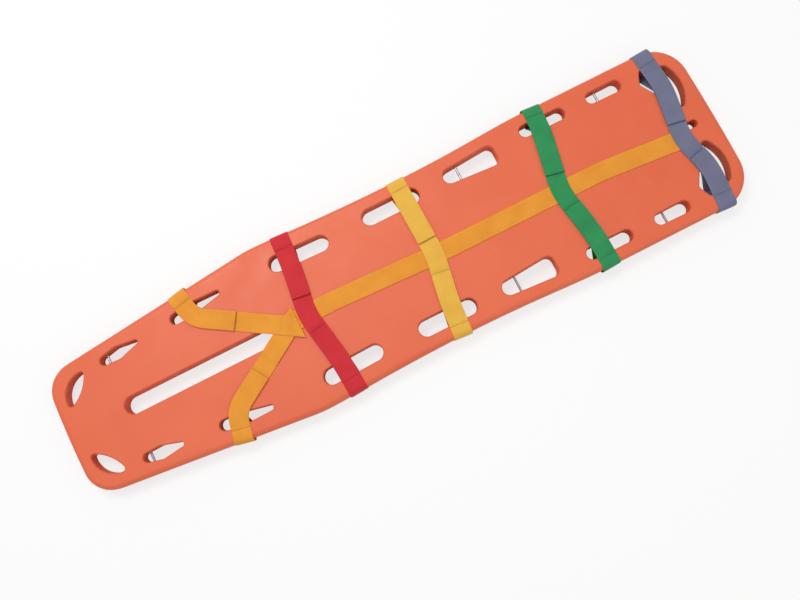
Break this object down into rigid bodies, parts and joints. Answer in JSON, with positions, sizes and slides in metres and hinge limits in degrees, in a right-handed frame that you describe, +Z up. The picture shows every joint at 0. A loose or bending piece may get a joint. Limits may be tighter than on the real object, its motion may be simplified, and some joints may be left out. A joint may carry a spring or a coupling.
{
  "type": "spine board",
  "caption": "Moulded plastic rescue spine board with hand holes, strap pins and a strap harness whose ends peel open.",
  "frame": {"origin": "on the ground plane under the middle of the board's length and width", "axes": "+X along the board towards the wide head end, +Y across, +Z up out of the deck"},
  "size_m": [1.84, 0.4732, 0.0582],
  "materials": {
    "shell_plastic": "satin",
    "pin_steel": "satin",
    "webbing_orange": "matte",
    "webbing_red": "matte",
    "webbing_yellow": "matte",
    "webbing_green": "matte",
    "webbing_grey": "matte",
    "hook_tape": "matte",
    "loop_tape": "matte"
  },
  "bodies": {
    "board": {"board_shell": "shell_plastic", "strap_pin_foot_left": "pin_steel", "strap_pin_foot_right": "pin_steel", "strap_pin_middle_left": "pin_steel", "strap_pin_middle_right": "pin_steel", "strap_pin_head_left": "pin_steel", "strap_pin_head_right": "pin_steel", "spine_strap": "webbing_orange", "arm_strap_left": "webbing_orange", "arm_strap_right": "webbing_orange", "red_strap": "webbing_red", "yellow_strap": "webbing_yellow", "green_strap": "webbing_green", "grey_strap": "webbing_grey", "red_left_loop_patch": "loop_tape", "red_right_loop_patch": "loop_tape", "yellow_left_loop_patch": "loop_tape", "yellow_right_loop_patch": "loop_tape", "green_left_loop_patch": "loop_tape", "green_right_loop_patch": "loop_tape", "grey_left_loop_patch": "loop_tape", "grey_right_loop_patch": "loop_tape", "arm_left_loop_patch": "loop_tape", "arm_right_loop_patch": "loop_tape"},
    "red_left_flap": {"red_left_flap": "webbing_red", "red_left_hook_patch": "hook_tape"},
    "red_right_flap": {"red_right_flap": "webbing_red", "red_right_hook_patch": "hook_tape"},
    "yellow_left_flap": {"yellow_left_flap": "webbing_yellow", "yellow_left_hook_patch": "hook_tape"},
    "yellow_right_flap": {"yellow_right_flap": "webbing_yellow", "yellow_right_hook_patch": "hook_tape"},
    "green_left_flap": {"green_left_flap": "webbing_green", "green_left_hook_patch": "hook_tape"},
    "green_right_flap": {"green_right_flap": "webbing_green", "green_right_hook_patch": "hook_tape"},
    "grey_left_flap": {"grey_left_flap": "webbing_grey", "grey_left_hook_patch": "hook_tape"},
    "grey_right_flap": {"grey_right_flap": "webbing_grey", "grey_right_hook_patch": "hook_tape"},
    "arm_left_flap": {"arm_left_flap": "webbing_orange", "arm_left_hook_patch": "hook_tape"},
    "arm_right_flap": {"arm_right_flap": "webbing_orange", "arm_right_hook_patch": "hook_tape"}
  },
  "joints": [
    {"name": "red_left_peel", "type": "hinge", "parent": "board", "child": "red_left_flap", "pos_m": [-0.22992, 0.18648, 0.0541], "axis": [-0.9985, 0.0545, 0], "range_deg": [0, 120]},
    {"name": "red_right_peel", "type": "hinge", "parent": "board", "child": "red_right_flap", "pos_m": [-0.22188, -0.18667, 0.0541], "axis": [0.9974, 0.0725, 0], "range_deg": [0, 120]},
    {"name": "yellow_left_peel", "type": "hinge", "parent": "board", "child": "yellow_left_flap", "pos_m": [0.10218, 0.18813, 0.0541], "axis": [-0.9997, -0.0251, 0], "range_deg": [0, 120]},
    {"name": "yellow_right_peel", "type": "hinge", "parent": "board", "child": "yellow_right_flap", "pos_m": [0.07948, -0.18938, 0.0541], "axis": [0.9971, -0.076, 0], "range_deg": [0, 120]},
    {"name": "green_left_peel", "type": "hinge", "parent": "board", "child": "green_left_flap", "pos_m": [0.50335, 0.20466, 0.0541], "axis": [-0.9972, 0.0748, 0], "range_deg": [0, 120]},
    {"name": "green_right_peel", "type": "hinge", "parent": "board", "child": "green_right_flap", "pos_m": [0.49205, -0.20415, 0.0541], "axis": [0.9985, 0.0545, 0], "range_deg": [0, 120]},
    {"name": "grey_left_peel", "type": "hinge", "parent": "board", "child": "grey_left_flap", "pos_m": [0.83007, 0.19392, 0.0541], "axis": [-0.9978, -0.0665, 0], "range_deg": [0, 120]},
    {"name": "grey_right_peel", "type": "hinge", "parent": "board", "child": "grey_right_flap", "pos_m": [0.83007, -0.19392, 0.0541], "axis": [0.9978, -0.0665, 0], "range_deg": [0, 120]},
    {"name": "arm_left_peel", "type": "hinge", "parent": "board", "child": "arm_left_flap", "pos_m": [-0.5213, 0.17497, 0.0541], "axis": [-0.9783, -0.207, 0], "range_deg": [0, 120]},
    {"name": "arm_right_peel", "type": "hinge", "parent": "board", "child": "arm_right_flap", "pos_m": [-0.5213, -0.17497, 0.0541], "axis": [0.9783, -0.207, 0], "range_deg": [0, 120]}
  ]
}
